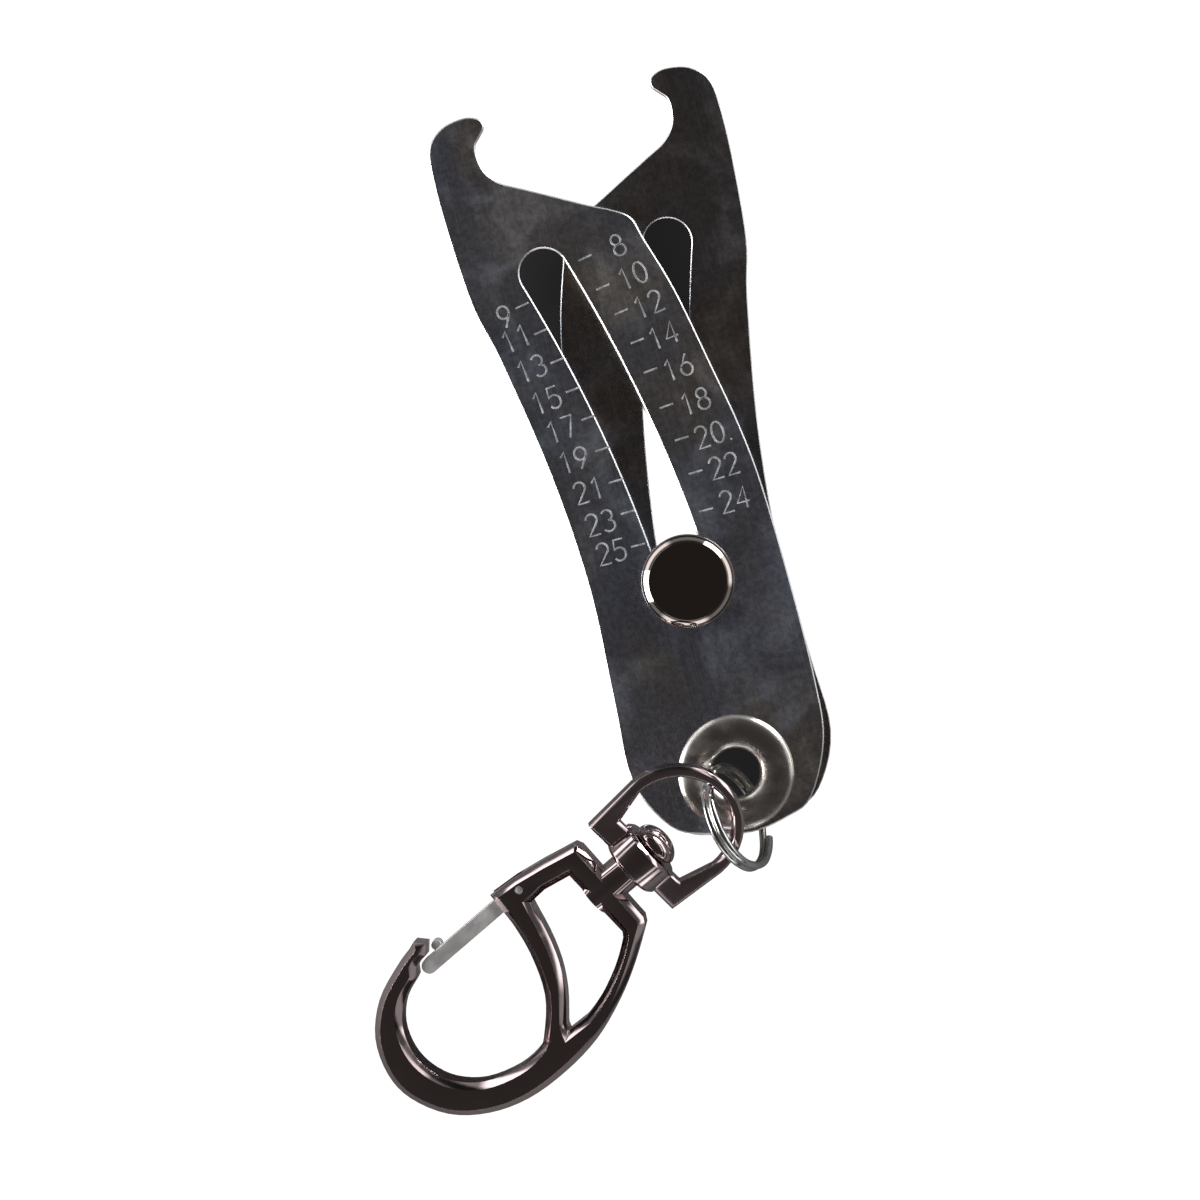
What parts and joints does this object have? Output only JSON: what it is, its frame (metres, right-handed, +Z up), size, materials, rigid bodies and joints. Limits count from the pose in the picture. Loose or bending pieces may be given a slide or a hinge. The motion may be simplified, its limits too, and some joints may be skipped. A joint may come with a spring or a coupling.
{
  "type": "thread size checker",
  "caption": "Pocket gauge with two crossed blades, hooked jaws, a slotted scale, a sliding button, an eyelet, a split ring and a swivel snap hook.",
  "frame": {"origin": "middle of the button's rear face, on which the tool rests, with the jaws open", "axes": "+Z up through the flat blades, +Y from the eyelet to the jaws"},
  "size_m": [0.0707, 0.1214, 0.0141],
  "materials": {
    "blade_steel": "dark burnished steel with a mottled tint and bright edges",
    "button_chrome": "polished, dark reflections, bright bevel",
    "eyelet_nickel": "nickel plate, slightly dulled",
    "ring_steel": "bright plated spring wire",
    "hook_chrome": "plated casting with worn bevels",
    "gate_chrome": "bright plated strip",
    "spring_steel": "plain spring wire"
  },
  "bodies": {
    "eyelet": {"eyelet": "eyelet_nickel", "eyelet_washer": "eyelet_nickel"},
    "back_blade": {"back_blade": "blade_steel"},
    "front_blade": {"front_blade": "blade_steel"},
    "button": {"slider_button": "button_chrome", "slider_back": "button_chrome"},
    "ring": {"split_ring": "ring_steel"},
    "eye": {"swivel_eye": "hook_chrome"},
    "hook": {"swivel_rivet": "hook_chrome", "hook_body": "hook_chrome", "gate_pin": "gate_chrome", "gate_spring": "spring_steel"},
    "gate": {"gate": "gate_chrome"}
  },
  "joints": [
    {"name": "back_blade_close", "type": "hinge", "parent": "eyelet", "child": "back_blade", "pos_m": [0, -0.0247, 0], "axis": [0, 0, 1], "range_deg": [0, 6.85]},
    {"name": "front_blade_close", "type": "hinge", "parent": "eyelet", "child": "front_blade", "pos_m": [0, -0.0247, 0], "axis": [0, 0, -1], "range_deg": [0, 6.85]},
    {"name": "button_slide", "type": "slide", "parent": "eyelet", "child": "button", "axis": [0, 1, 0], "range_m": [0, 0.0423]},
    {"name": "ring_swing", "type": "hinge", "parent": "eyelet", "child": "ring", "pos_m": [0, -0.0247, 0], "axis": [0, 0, 1], "range_deg": [0, 15]},
    {"name": "eye_lift", "type": "hinge", "parent": "ring", "child": "eye", "pos_m": [-0.00073, -0.03637, 0.00777], "axis": [-0.454, 0.891, 0], "range_deg": [0, 30]},
    {"name": "hook_swivel", "type": "hinge", "parent": "eye", "child": "hook", "pos_m": [-0.0159, -0.03258, 0.00895], "axis": [0.8782, 0.4475, 0.1688], "continuous": true},
    {"name": "gate_open", "type": "hinge", "parent": "hook", "child": "gate", "pos_m": [-0.02948, -0.03176, 0.00694], "axis": [-0.1504, -0.0766, 0.9857], "range_deg": [0, 20], "stiffness_Nm_per_rad": 0.004, "springref_deg": -20.05}
  ],
  "couplings": [
    {"joint": "front_blade_close", "follows": "back_blade_close", "ratio": 1},
    {"joint": "button_slide", "follows": "back_blade_close", "m_per_rad": 0.35381}
  ]
}
